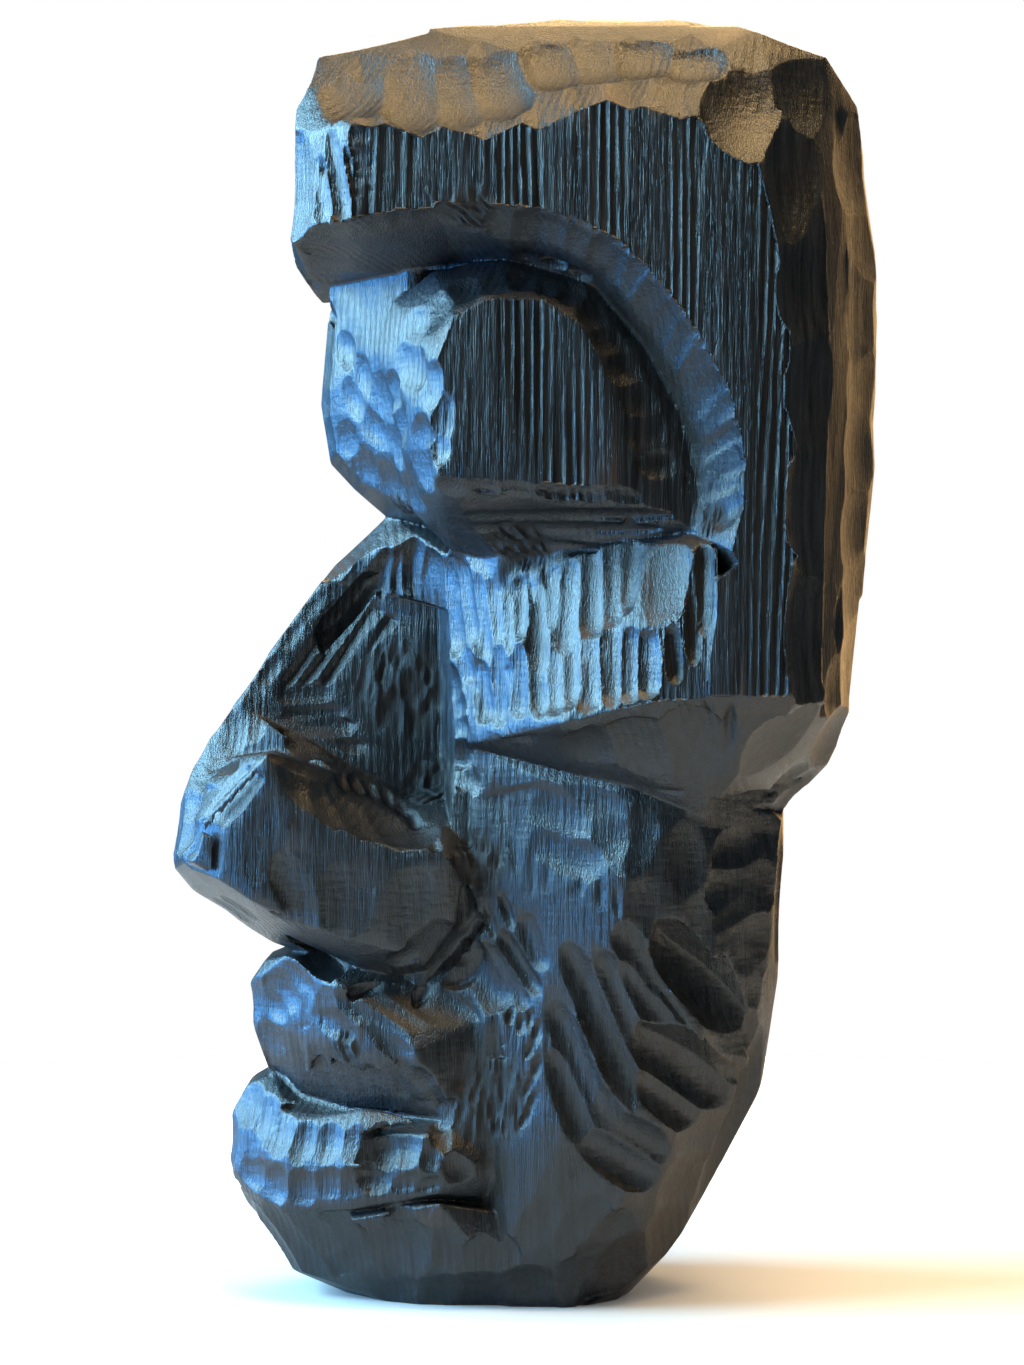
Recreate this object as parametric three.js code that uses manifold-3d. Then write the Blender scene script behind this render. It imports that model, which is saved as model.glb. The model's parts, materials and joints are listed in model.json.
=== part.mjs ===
// A blackened wooden head, carved in the round from one baulk of timber with mallet, flat chisels and gouges.
// Frame: millimetres, +Z up, the face looks along -Y, the origin is under the middle of the head's box.
// Every place on the head is a share of its three sizes, in hundredths: [out, back, up].
// out runs from the middle plane (0) to the side of the baulk (100), back from the nose tip (-50)
// to the back of the head (50), and up from the sawn base (0) to the crown (100).
import * as THREE from "three";
import { ConvexGeometry } from "three/addons/geometries/ConvexGeometry.js";
import { mergeVertices } from "three/addons/utils/BufferGeometryUtils.js";
import Module from "manifold-3d";

const wasm = await Module();
wasm.setup();

// Driving sizes of the head, in millimetres
const headHeight = 465;
const headDepth = 258;
const headWidth = 190;

const share = 0.01;
const sameSpot = 1e-4; // corners closer than this are one corner, in millimetres
const bothWays = [1, -1]; // the two sides of the head, +X and -X

// A place on the head as a vector
function at([out, back, up]) {
  return new THREE.Vector3(
    (out * share * headWidth) / 2,
    back * share * headDepth,
    up * share * headHeight,
  );
}

// The places given and the same ones on the other side of the middle plane
function bothSides(places) {
  return [...places, ...places.map(([out, back, up]) => [-out, back, up])];
}

// A closed geometry as a solid that can be joined and cut
function solidOf(geometry) {
  const bare = new THREE.BufferGeometry()
    .setAttribute("position", geometry.getAttribute("position"))
    .setIndex(geometry.index);
  const merged = mergeVertices(bare, sameSpot);
  return new wasm.Manifold(
    new wasm.Mesh({
      numProp: 3,
      vertProperties: merged.getAttribute("position").array,
      triVerts: new Uint32Array(merged.index.array),
    }),
  );
}

// The convex mass that a set of places spans, as a carver blocks out a form
function mass(places) {
  return solidOf(new ConvexGeometry(places.map(at)));
}

// A solid between two rings of vectors with as many points each
function loft(ringA, ringB) {
  const n = ringA.length;
  const middle = (ring) =>
    ring.reduce((sum, p) => sum.add(p), new THREE.Vector3()).divideScalar(n);
  const points = [...ringA, ...ringB, middle(ringA), middle(ringB)];
  const index = [];
  for (let i = 0; i < n; i++) {
    const j = (i + 1) % n;
    index.push(i, j, n + j, i, n + j, n + i);
    index.push(2 * n, j, i);
    index.push(2 * n + 1, n + i, n + j);
  }
  const geometry = new THREE.BufferGeometry().setFromPoints(points);
  geometry.setIndex(index);
  const solid = solidOf(geometry);
  if (solid.volume() > 0) return solid;
  geometry.setIndex(index.reverse());
  return solidOf(geometry);
}

// A smooth open curve through places, as n + 1 vectors
function curve(places, n) {
  return new THREE.CatmullRomCurve3(places.map(at), false, "centripetal").getPoints(n);
}

// The cranium: a tall block with a domed top, a flat front and rounded back corners
const crown = bothSides([
  [0, 12, 100],
  [44, 6, 99.8],
  [44, 20, 99.8],
  [64, -14, 97.5],
  [64, 33, 97.6],
  [62, -27.6, 95.6],
  [60, 41.2, 95.4],
  [72, -30.2, 93],
  [45, 46, 92.2],
]);
const sideTop = bothSides([
  [100, -23, 88.8],
  [100, 14, 91.5],
  [100, 27, 90.5],
  [100, 33, 84],
]);
const browFront = bothSides([
  [0, -32.6, 89],
  [80, -31.3, 88.8],
  [0, -32.8, 81.2],
  [81, -31.5, 81],
  [100, -25, 80.7],
  [74, -29.6, 79.3],
  [0, -30.5, 79.2],
]);
const cranialBlock = mass([
  ...crown,
  ...sideTop,
  ...browFront,
  ...bothSides([
    [100, 35.4, 79],
    [62, 45.8, 79],
    [34, 50, 79],
    [0, 50, 79],
    [44, 48.4, 86],
  ]),
]);
const backBlock = mass(
  bothSides([
    [100, 8, 80],
    [100, 35.4, 80],
    [62, 45.8, 80],
    [34, 50, 79.9],
    [0, 50, 79.9],
    [36, 48.8, 61],
    [100, 8, 47],
    [100, 36.6, 47],
    [62, 44, 46],
    [34, 45.8, 45.5],
    [32, 42.4, 41.6],
    [30, 36.2, 38],
    [66, 24, 37.6],
    [66, 15.7, 39.9],
    [50, -6, 42],
    [45, -8, 79.9],
  ]),
);

// A cutter that sinks from a rim on the surface to a floor inside the wood, with as many places each
function sinking(rim, floor) {
  const outsideShare = 1.4; // how far past its rim the cutter reaches, as a share of its walls
  const outside = rim.map((p, i) => floor[i].clone().lerp(p, outsideShare));
  return loft(outside, floor);
}

// The socket sinks both sides of the face below the side planes. Its rim is the arched edge over the eye and
// its floor is the groove round the eyeball, so the wall between them is the lit band of the socket.
const rimOfSocket = [
  [100, -70, 81.5],
  [100, -24, 82.1],
  [100, -3, 82.9],
  [100, 10, 80.8],
  [100, 20.5, 74.8],
  [100, 27.6, 68],
  [100, 29.2, 62.5],
  [100, 27.4, 57.6],
];
const floorOfSocket = [
  [40, -70, 78.6],
  [52, -19, 79],
  [72, -3, 79.8],
  [78, 9, 77.8],
  [81, 16.4, 73],
  [83, 21.4, 67.6],
  [84, 23.6, 62.4],
  [84, 22.6, 59.2],
];
const rimUnderCheek = [
  [100, 24.4, 55],
  [100, 24.2, 47],
  [100, 20, 40],
  [100, -70, 40],
];
const floorUnderCheek = [
  [60, 22, 55],
  [50, 22, 47],
  [50, 18, 41],
  [40, -70, 41],
];
const socketSteps = 9;

function socket(side) {
  const turn = ([out, back, up]) => [side * out, back, up];
  const ring = (arch, below) => [...curve(arch.map(turn), socketSteps), ...below.map(turn).map(at)];
  return sinking(ring(rimOfSocket, rimUnderCheek), ring(floorOfSocket, floorUnderCheek));
}

// The hollow in the side of the nose, with the crisp curved edge that it leaves on the wing
const rimOfNoseHollow = [
  [58, -40, 44.2],
  [58, -33, 41],
  [58, -26.4, 37.2],
  [58, -17, 35.2],
  [58, -9.4, 35.6],
  [58, -8, 40],
  [58, -9, 53],
  [58, -29, 56],
];
const floorOfNoseHollow = [
  [21, -40, 46],
  [23, -30, 43.4],
  [24, -23, 41],
  [22, -16, 39.4],
  [20, -11.6, 40],
  [18, -11.6, 43],
  [17, -12, 54],
  [13, -27, 56],
];

function noseHollow(side) {
  const place = ([out, back, up]) => at([side * out, back, up]);
  return sinking(rimOfNoseHollow.map(place), floorOfNoseHollow.map(place));
}

// The mouth: a deep cut between the lips that runs back to the corner
const rimOfMouth = [
  [21, -39, 22.2],
  [34, -32.4, 21.1],
  [44, -25.6, 20.1],
  [53, -17.6, 19],
  [58.5, -11.6, 17.2],
  [58.5, -10.6, 13.8],
  [49, -17.6, 13.9],
  [41, -26, 14.1],
  [33, -31.8, 15],
  [19, -37, 17.6],
];
const floorOfMouth = [
  [18, -36, 18.1],
  [27, -31.2, 16.1],
  [36, -25, 15.3],
  [45, -17, 15],
  [50, -12, 14.9],
  [50, -11.6, 14.4],
  [44, -17.2, 14.5],
  [36, -25.4, 14.8],
  [27, -31.6, 15.6],
  [17, -35.6, 17.5],
];

function mouth(side) {
  const place = ([out, back, up]) => at([side * out, back, up]);
  return sinking(rimOfMouth.map(place), floorOfMouth.map(place));
}

// The eyeball: a half dome lying on its flat side, with a flat sawn front
const eyeFoot = [
  [46, -16, 61.4],
  [44, -19.6, 67.5],
  [46, -20.8, 73.5],
  [54, -18, 77],
  [66, -12.5, 79],
  [71, -3, 80],
  [77, 9, 78],
  [80, 16.4, 73],
  [82, 21.4, 67.6],
  [83, 23.6, 62.4],
  [83, 22.6, 59.4],
];
const eyeFront = [
  [90, -11.4, 62.8],
  [90, -12, 66],
  [90, -11.8, 71.6],
  [90, -9.4, 75],
  [90, -5, 76.4],
  [90, 2, 76.3],
  [90, 7, 74.6],
  [90, 10.4, 71],
  [90, 11.8, 67],
  [90, 11.6, 62.4],
  [90, 9, 62],
];
const eyeKeel = [
  [58, 10.3, 57.2],
  [52, -0.6, 56],
  [44, -10, 58],
  [30, 0, 60],
  [30, 0, 75],
];

function eyeball(side) {
  const places = [...eyeFoot, ...eyeFront, ...eyeKeel];
  return mass(places.map(([out, back, up]) => [side * out, back, up]));
}

// The bridge between the eyes, down to the notch over the nose
const bridge = mass(
  bothSides([
    [15, -27.4, 80],
    [14, -27.8, 75],
    [15, -29, 70],
    [15, -27.6, 65.3],
    [12, -24.4, 63.4],
    [7, -19.6, 61.1],
    [46, -19.5, 79.6],
    [60, -15.5, 80.6],
    [47, -20.4, 73.4],
    [45, -19.4, 67.3],
    [42, -15.4, 61.4],
    [40, 0, 80],
    [38, 0, 58],
  ]),
);

// The nose: a long ridge that widens to the tip, and the flat-sided wings
const noseRidge = mass(
  bothSides([
    [7, -19.4, 61.2],
    [11, -27, 57.3],
    [14, -31.8, 53.6],
    [16, -36.8, 49.7],
    [19, -42.4, 45.5],
    [21, -46.4, 41.7],
    [22, -48.8, 38.4],
    [22, -50, 35.8],
    [22, -49.2, 33.4],
    [38, -11, 58],
    [38, -11, 46.6],
    [44, -10, 42],
    [48, -8, 34],
    [38, 4, 58],
    [44, 4, 34],
  ]),
);
const noseWings = mass(
  bothSides([
    [21, -46.4, 41.7],
    [22, -50, 35.8],
    [22, -49.2, 33.4],
    [22, -46.8, 31.8],
    [21, -42.4, 30],
    [18, -35.6, 27.6],
    [58, -35, 42.6],
    [53, -45.2, 36.6],
    [52, -46, 34.4],
    [58, -37.4, 31.4],
    [58, -26, 28.8],
    [59, -10.4, 34.6],
    [56, -8.6, 32.8],
    [54, -10.2, 28.4],
    [56, -17, 27.4],
    [38, -20, 24.8],
    [34, -7.6, 24.6],
    [30, 0, 36],
  ]),
);

// The cheeks: slopes that rise from the eye groove to an overhanging ledge
function cheek(side) {
  return mass(
    [
      [36, -11, 57.6],
      [43, -10.3, 58.5],
      [56, -0.6, 56.6],
      [64, 10.2, 57.6],
      [80, 22.1, 59.3],
      [97, 25.5, 57.8],
      [100, 26, 47],
      [98, 16.6, 46.6],
      [88, 4.7, 44.9],
      [58, -6.4, 43.4],
      [42, -10, 43.2],
      [60, 5, 41.8],
      [67, 15.7, 39.8],
      [68, 25, 38],
      [30, 10, 58],
      [30, 26, 46],
      [40, 0, 42],
    ].map(([out, back, up]) => [side * out, back, up]),
  );
}

// The muzzle, the jaw and the chin, down to the sawn base
const jaw = mass(
  bothSides([
    [48, -7, 43],
    [50, -7.6, 34],
    [56, 1, 24],
    [56, 2, 14],
    [66, 15.7, 41],
    [67, 23.8, 39],
    [42, 35.4, 37.6],
    [28, 36.4, 38],
    [28, 36.4, 28],
    [27, 35.4, 24.2],
    [26, 33.3, 16.4],
    [30, 27.9, 10.8],
    [36, 22, 5],
    [70, 10.6, 38.6],
    [73, 14, 34.7],
    [73, 13, 24.2],
    [62, 28, 22],
    [66, 16, 12],
    [60, 10.3, 5.5],
    [56, 3, 1.4],
    [40, 15, 2.2],
    [30, 13, 0],
    [44, 8, 0],
    [52, 3, 0],
    [44, -6, 0],
    [58, -2, 5],
    [14, 15, 0],
  ]),
);
const muzzle = mass(
  bothSides([
    [0, -30, 28],
    [40, -18, 28],
    [46, -6, 28],
    [52, 3, 24],
    [50, -10, 20],
    [44, -20, 17.4],
    [30, -30, 17.6],
    [0, -35.2, 17.6],
    [55, -10, 12],
    [52, 3, 8],
    [0, -33, 8],
    [40, -25, 8],
  ]),
);
const upperLip = mass(
  bothSides([
    [0, -39.4, 24],
    [20, -38.8, 24.2],
    [20, -38.2, 21],
    [18, -35.9, 17.3],
    [0, -36.6, 17.5],
    [27, -31.3, 15.9],
    [20, -36.6, 26.2],
    [33, -33.4, 26.8],
    [47, -26.6, 25.6],
    [55, -24, 23.6],
    [58, -15, 19.8],
    [56, -11.8, 16.2],
    [47, -24, 17.2],
    [34, -31.4, 17.8],
    [30, -10, 27],
    [48, -5, 22],
    [40, 0, 16],
  ]),
);
const lowerLip = mass(
  bothSides([
    [0, -36.6, 17.4],
    [18, -36, 17.2],
    [20, -39.4, 16.2],
    [20, -41.2, 14.4],
    [20, -41.8, 10.6],
    [19, -40.4, 8.4],
    [0, -42.6, 12],
    [46, -32.4, 13.6],
    [58, -24, 12.4],
    [63, -12, 12.4],
    [61, -8, 11],
    [60, -12, 9.2],
    [54, -24, 7.8],
    [41, -34.6, 7],
    [50, -22, 15.2],
    [56, -13, 14.8],
    [40, 0, 14],
    [40, 0, 8],
  ]),
);
const chin = mass(
  bothSides([
    [19, -40.2, 8.2],
    [20, -37.2, 4.6],
    [24, -34.8, 2.6],
    [32, -27, 2],
    [16, -25, 0],
    [34, -19, 0],
    [42, -13, 0],
    [54, -3, 0],
    [41, -34.2, 6.6],
    [54, -23.6, 7],
    [60, -11.6, 8.4],
    [58, -5, 4],
    [40, 10, 6],
    [0, -40.6, 8],
    [0, -26, 0],
    [0, 10, 0],
    [20, 14, 0],
  ]),
);

// The blocked-out head, before any tool marks
function blockOut() {
  let head = cranialBlock.add(backBlock);
  for (const side of bothWays) head = head.subtract(socket(side));
  let nose = noseRidge.add(noseWings);
  for (const side of bothWays) nose = nose.subtract(noseHollow(side));
  for (const side of bothWays) head = head.add(eyeball(side)).add(cheek(side));
  for (const form of [bridge, nose, jaw, muzzle, upperLip, lowerLip, chin]) head = head.add(form);
  for (const side of bothWays) head = head.subtract(mouth(side));
  return head;
}

// Which way each face of the baulk looks
const toSide = [1, 0, 0];
const toBack = [0, 1, 0];
const toTop = [0, 0, 1];
const toFront = [0, -1, 0];

// The hollows left by the tools, in rows. Each row runs from its first pull to its last, and every pull goes
// from a place on the line of starts to one on the line of ends, evenly between their places. A pull is as wide
// as the distance to its neighbour and a little more, unless the row gives its breadth. Breadth and depth are in
// millimetres.
const toolRows = [
  // Crown: scalloped facets under the sawn top
  { count: 8, looks: [1, 0, 1], depth: 2.6,
    starts: [[66, -23, 95.8], [68, -3.3, 96.6], [66, 11.2, 97.2], [66, 32, 96]],
    ends: [[100, -20, 88.8], [100, -3, 88.2], [100, 11, 91], [100, 28.4, 87]] },
  { count: 4, looks: toTop, depth: 1,
    starts: [[62, -20, 98], [62, 30, 98]], ends: [[16, -12, 100], [16, 24, 100]] },
  // Back corner and back: long hollows down the corner, and broad scallops from the crown to the nape
  { count: 3, looks: [1, 0.8, 0], depth: 1.7,
    starts: [[96, 34, 87], [62, 44, 88]], ends: [[96, 35.6, 47.6], [62, 43, 47]] },
  { count: 5, looks: toBack, depth: 1.2,
    starts: [[56, 43, 87], [56, 42, 47]], ends: [[4, 48, 88], [4, 45, 46]] },
  // Front of the crown block: two deep gouges on the lower corner and broad cuts above
  { count: 2, looks: [1, -0.6, 0], depth: 2.6, breadth: 8,
    starts: [[92, -28, 87.4], [100, -24, 88]], ends: [[92, -28, 82.4], [100, -22, 83]] },
  { count: 2, looks: toFront, depth: 1.6,
    starts: [[70, -31, 82], [8, -31, 82]], ends: [[70, -30, 92], [8, -30, 92]] },
  // Cheek: two rows of upright flutes, the lower ones staggered, and two at the back edge
  { count: 12, looks: toSide, depth: 2.2,
    starts: [[38, -11.2, 57.7], [52, -6.1, 56.8], [66, 3.5, 56.9], [72, 15, 59]],
    ends: [[40, -10, 50.3], [66, -2.4, 50.6], [74, 3.7, 52.6], [87, 12.2, 52.6]] },
  { count: 12, looks: toSide, depth: 2.2,
    starts: [[41, -9.5, 49.7], [61, -4.4, 50.7], [75, 5.8, 52.9], [93, 16, 51.4]],
    ends: [[51, -6.9, 43.7], [68, -2.5, 44.4], [89, 6, 45.5], [97, 16, 46.4]] },
  { count: 2, looks: toSide, depth: 2, breadth: 8,
    starts: [[96, 19.5, 52], [92, 23.6, 58.6]], ends: [[98, 20.2, 47.2], [100, 24, 48.6]] },
  // Nose: long flutes down the hollow side beside the ridge, and short cuts on the tip
  { count: 4, looks: toSide, depth: 1.6,
    starts: [[14, -21, 57.6], [16, -14, 57]], ends: [[18, -35.6, 47], [20, -27, 46.4]] },
  { count: 3, looks: [1, -0.7, 0], depth: 2.6,
    starts: [[20, -46, 42], [20, -49.4, 36.6]], ends: [[48, -38, 43], [50, -42.6, 36.6]] },
  // Beside the upper lip: the fan of gouges from the nose wing down to the corner of the mouth
  { count: 3, looks: toSide, depth: 1.6,
    starts: [[52, -6, 29], [56, 3, 27]], ends: [[50, -8, 20], [56, 3, 17]] },
  // Lips: cuts across the rolls
  { count: 5, looks: [0.8, -1, 0.5], depth: 1.3,
    starts: [[18, -38, 25], [50, -21, 24.4]], ends: [[18, -39, 21], [56, -19, 20.4]] },
  { count: 5, looks: [0.8, -1, 0], depth: 1.3,
    starts: [[18, -40, 16.4], [56, -15, 14.6]], ends: [[18, -42, 10], [58, -15, 10]] },
  { count: 4, looks: [0.7, -1, -0.6], depth: 1.8,
    starts: [[14, -41, 9], [56, -14, 9]], ends: [[14, -36, 3.4], [54, -12, 2.6]] },
  // Chin and base: large soft facets that make the lower edge wavy
  { count: 5, looks: [1, -0.3, -0.6], depth: 2.2,
    starts: [[46, -22, 6], [62, 14, 6.6]], ends: [[36, -20, 0.4], [44, 14, 0.4]] },
  // Jaw: broad cuts under the cheek, then long flutes that sweep down and back to the nape
  { count: 3, looks: [1, -0.3, 0.4], depth: 1.8,
    starts: [[50, -4, 42.4], [66, 14, 40]], ends: [[54, -1, 33], [70, 13, 33]] },
  { count: 6, looks: toSide, depth: 2.8, breadth: 10,
    starts: [[62, 4.3, 23.8], [66, 5.6, 26.6], [70, 11.6, 28.4], [69, 18.4, 27.2]],
    ends: [[67, 9.2, 16.5], [69, 14, 18.6], [66, 19.4, 21.6], [44, 30.4, 19.9]] },
  { count: 5, looks: toSide, depth: 2.5, breadth: 9,
    starts: [[66, 7.3, 17.7], [71, 14.6, 20.6], [59, 23.5, 19.6]],
    ends: [[64, 11.6, 13.4], [64, 20.6, 17.3], [30, 32.4, 16]] },
  // Nape: scallops down both corners and the back of the neck
  { count: 7, looks: [1, 1, 0], depth: 2.4,
    starts: [[64, 24, 37], [54, 20, 6]], ends: [[30, 36, 36], [28, 22, 5]] },
  { count: 4, looks: toBack, depth: 1.4,
    starts: [[26, 36, 36], [26, 24, 6]], ends: [[2, 36, 36], [2, 24, 6]] },
];

const chipBreadth = 1.5; // of the distance between neighbours, so that pulls meet in a ridge
const clearAbove = 7; // how far a cutter stands out of the wood, in millimetres
const pullStations = [0, 0.35, 1]; // along a pull
const pullDepths = [-0.15, 1, -0.15]; // as shares of its depth, below 0 where the tool leaves the wood
const sectionAcross = [-1, 0, 1];
const sectionRise = [1.35, 0, 1.35]; // of the depth, from the bottom of the hollow
const overhang = 1.3; // half breadth of a cutter above the wood, as a share of its half width
const lean = 0.5; // from the wood's own normal towards the way its face looks
const swayShare = 0.14; // how far a pull strays towards its neighbour
const slipShare = 0.06; // how far its ends stray along it
const depthShare = 0.2; // how much its depth varies

const nearSeed = 7919;
const farSeed = 104729;

// A seeded stream of numbers from -1 to 1, so that no two pulls are alike
function wobble(seed) {
  let state = seed;
  return () => {
    state = (state * 16807) % 2147483647;
    return (2 * state) / 2147483647 - 1;
  };
}

// The place where a line through p along the outward direction meets the wood, with the wood's own normal
function touch(target, p, outward) {
  const reach = 200;
  const ray = new THREE.Raycaster(
    p.clone().addScaledVector(outward, reach),
    outward.clone().negate(),
  );
  const hit = ray.intersectObject(target, false)[0];
  return hit ?? null;
}

// One pull of the gouge: a boat-shaped cutter that follows the surface under it
function pull(target, start, end, outward, width, depth) {
  const along = end.clone().sub(start);
  const rings = [];
  for (let i = 0; i < pullStations.length; i++) {
    const t = pullStations[i];
    const guess = start.clone().lerp(end, t);
    const hit = touch(target, guess, outward);
    if (!hit) return null;
    const up = hit.face.normal.clone().lerp(outward, lean).normalize();
    const across = new THREE.Vector3().crossVectors(along, up).normalize();
    const halfWidth = width(t) / 2;
    const place = (u, height) =>
      hit.point.clone().addScaledVector(across, u * halfWidth).addScaledVector(up, height);
    const ring = sectionAcross.map((u, k) => place(u, depth * (sectionRise[k] - pullDepths[i])));
    ring.push(place(overhang, clearAbove), place(-overhang, clearAbove));
    rings.push(ring);
  }
  return sweep(rings);
}

// A solid through a row of rings with as many points each, closed at both ends
function sweep(rings) {
  const n = rings[0].length;
  const index = [];
  for (let r = 0; r + 1 < rings.length; r++) {
    for (let i = 0; i < n; i++) {
      const j = (i + 1) % n;
      const a = r * n;
      const b = a + n;
      index.push(a + i, a + j, b + j, a + i, b + j, b + i);
    }
  }
  const last = (rings.length - 1) * n;
  for (let i = 1; i + 1 < n; i++) {
    index.push(0, i + 1, i);
    index.push(last, last + i, last + i + 1);
  }
  const geometry = new THREE.BufferGeometry().setFromPoints(rings.flat());
  geometry.setIndex(index);
  const solid = solidOf(geometry);
  if (solid.volume() > 0) return solid;
  geometry.setIndex(index.reverse());
  return solidOf(geometry);
}

// The place at t, from 0 to 1, on a line of places
function onLine(line, t) {
  const spot = THREE.MathUtils.clamp(t, 0, 1) * (line.length - 1);
  const first = Math.min(Math.floor(spot), line.length - 2);
  return line[first].clone().lerp(line[first + 1], spot - first);
}

// The distance on a line from the pull at t to its neighbours, where the row has as many gaps as given
function stepAt(line, t, gaps) {
  const before = Math.max(t - 1 / gaps, 0);
  const after = Math.min(t + 1 / gaps, 1);
  return onLine(line, before).distanceTo(onLine(line, after)) / ((after - before) * gaps);
}

// Every pull of one row on one side of the head
function pullsOf(row, side, target, random) {
  const turn = ([out, back, up]) => at([side * out, back, up]);
  const starts = row.starts.map(turn);
  const ends = row.ends.map(turn);
  const outward = new THREE.Vector3(side * row.looks[0], row.looks[1], row.looks[2]).normalize();
  const gaps = row.count - 1;
  const pulls = [];
  for (let i = 0; i < row.count; i++) {
    const sway = random() * swayShare;
    const t = THREE.MathUtils.clamp((i + sway) / gaps, 0, 1);
    const start = onLine(starts, t);
    const end = onLine(ends, t);
    const widths = [stepAt(starts, t, gaps), stepAt(ends, t, gaps)].map((step) => chipBreadth * step);
    const width = (along) => row.breadth ?? THREE.MathUtils.lerp(...widths, along);
    const slip = random() * slipShare;
    const from = start.clone().lerp(end, slip);
    const to = end.clone().lerp(start, -slip);
    const depth = row.depth * (1 + depthShare * random());
    pulls.push(pull(target, from, to, outward, width, depth));
  }
  return pulls.filter((cutter) => cutter !== null);
}

// The head with its tool marks
function carve(head) {
  const target = meshOf(head, "target");
  let carved = head;
  for (const side of bothWays) {
    const random = wobble(side > 0 ? nearSeed : farSeed);
    for (const row of toolRows)
      for (const cutter of pullsOf(row, side, target, random)) carved = carved.subtract(cutter);
  }
  return carved;
}

// The triangles of the largest body, because a chip that is cut free falls away
function withoutChips(triangles, pointCount) {
  const parent = Array.from({ length: pointCount }, (_, i) => i);
  const rootOf = (i) => {
    while (parent[i] !== i) {
      parent[i] = parent[parent[i]];
      i = parent[i];
    }
    return i;
  };
  for (let t = 0; t < triangles.length; t += 3) {
    parent[rootOf(triangles[t + 1])] = rootOf(triangles[t]);
    parent[rootOf(triangles[t + 2])] = rootOf(triangles[t]);
  }
  const bodies = new Map();
  for (let t = 0; t < triangles.length; t += 3) {
    const root = rootOf(triangles[t]);
    if (!bodies.has(root)) bodies.set(root, []);
    bodies.get(root).push(triangles[t], triangles[t + 1], triangles[t + 2]);
  }
  return [...bodies.values()].sort((a, b) => b.length - a.length)[0];
}

// A solid as a mesh with the finish of the wood
function meshOf(solid, name) {
  const { vertProperties, triVerts } = solid.getMesh();
  const geometry = new THREE.BufferGeometry().setAttribute(
    "position",
    new THREE.BufferAttribute(vertProperties, 3),
  );
  geometry.setIndex(withoutChips(triVerts, vertProperties.length / 3));
  const material = new THREE.MeshStandardMaterial({
    color: 0x1d2226,
    roughness: 0.42,
    metalness: 0,
    flatShading: true,
  });
  const mesh = new THREE.Mesh(geometry, material);
  mesh.name = name;
  return mesh;
}

const model = new THREE.Group();
model.add(meshOf(carve(blockOut()), "carved_head"));

export default model;
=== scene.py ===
import json
import math
import random

import bmesh
import bpy
import numpy as np
from mathutils import Matrix, Vector
from mathutils.bvhtree import BVHTree

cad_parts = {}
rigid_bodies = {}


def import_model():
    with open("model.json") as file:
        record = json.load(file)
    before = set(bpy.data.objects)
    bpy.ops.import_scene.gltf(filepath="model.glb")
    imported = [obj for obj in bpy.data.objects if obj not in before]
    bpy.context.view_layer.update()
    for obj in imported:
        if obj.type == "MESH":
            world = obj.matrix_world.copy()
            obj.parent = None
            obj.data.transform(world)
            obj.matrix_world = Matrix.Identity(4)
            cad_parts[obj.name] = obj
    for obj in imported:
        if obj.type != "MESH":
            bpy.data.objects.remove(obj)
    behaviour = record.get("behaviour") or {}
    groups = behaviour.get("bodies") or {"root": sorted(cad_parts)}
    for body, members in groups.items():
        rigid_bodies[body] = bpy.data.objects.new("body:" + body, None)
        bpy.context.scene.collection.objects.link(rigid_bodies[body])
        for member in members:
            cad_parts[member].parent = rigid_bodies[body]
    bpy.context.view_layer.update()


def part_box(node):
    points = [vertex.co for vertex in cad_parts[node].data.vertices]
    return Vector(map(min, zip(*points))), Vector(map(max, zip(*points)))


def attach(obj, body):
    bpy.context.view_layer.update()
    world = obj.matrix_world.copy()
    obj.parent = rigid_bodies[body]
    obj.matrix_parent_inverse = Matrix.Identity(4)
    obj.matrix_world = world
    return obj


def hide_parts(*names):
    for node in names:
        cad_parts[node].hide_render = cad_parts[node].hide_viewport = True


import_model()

sceneItems = bpy.context.scene.collection.objects
mm = 0.001


# sRGB hex to the linear colour that shaders use
def linear(hexColour):
    parts = [int(hexColour[i:i + 2], 16) / 255 for i in (1, 3, 5)]
    return [c / 12.92 if c <= 0.04045 else ((c + 0.055) / 1.055) ** 2.4 for c in parts] + [1.0]


# adds one node with its settings and links; a value that is a socket is linked
def node(tree, kind, settings=None, **inputs):
    made = tree.nodes.new(kind)
    for name, value in (settings or {}).items():
        setattr(made, name, value)
    for name, value in inputs.items():
        key = int(name[1:]) if name[0] == "i" and name[1:].isdigit() else name.replace("_", " ")
        socket = made.inputs[key]
        if isinstance(value, bpy.types.NodeSocket):
            tree.links.new(value, socket)
        else:
            socket.default_value = value
    return made


# The head: shares of the CAD head's own box, in hundredths, as [out, back, up].
# out runs from the middle plane to the side of the timber, back from the nose (-50) to the back of the
# head (50), and up from the base to the crown.
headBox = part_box("carved_head")
headSize = [headBox[1][i] - headBox[0][i] for i in range(3)]


def place(share, side=1):
    out, back, up = share
    return Vector((side * out * headSize[0] / 200, back * headSize[1] / 100, up * headSize[2] / 100))


# merged copy of the CAD node, which is loose triangles
def blankFromFrame(nodeName):
    mesh = bmesh.new()
    mesh.from_mesh(bpy.data.objects[nodeName].data)
    bmesh.ops.remove_doubles(mesh, verts=mesh.verts, dist=1e-6)
    return mesh


# The photograph's view, from the head's own side, square on and level, in a frame of 1024 x 1365 pixels
photoView = dict(away=1.2, side=-0.0044, height=0.223, lens=85.5, sensor=36, middle=(512, 682.5), tall=1365)


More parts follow.
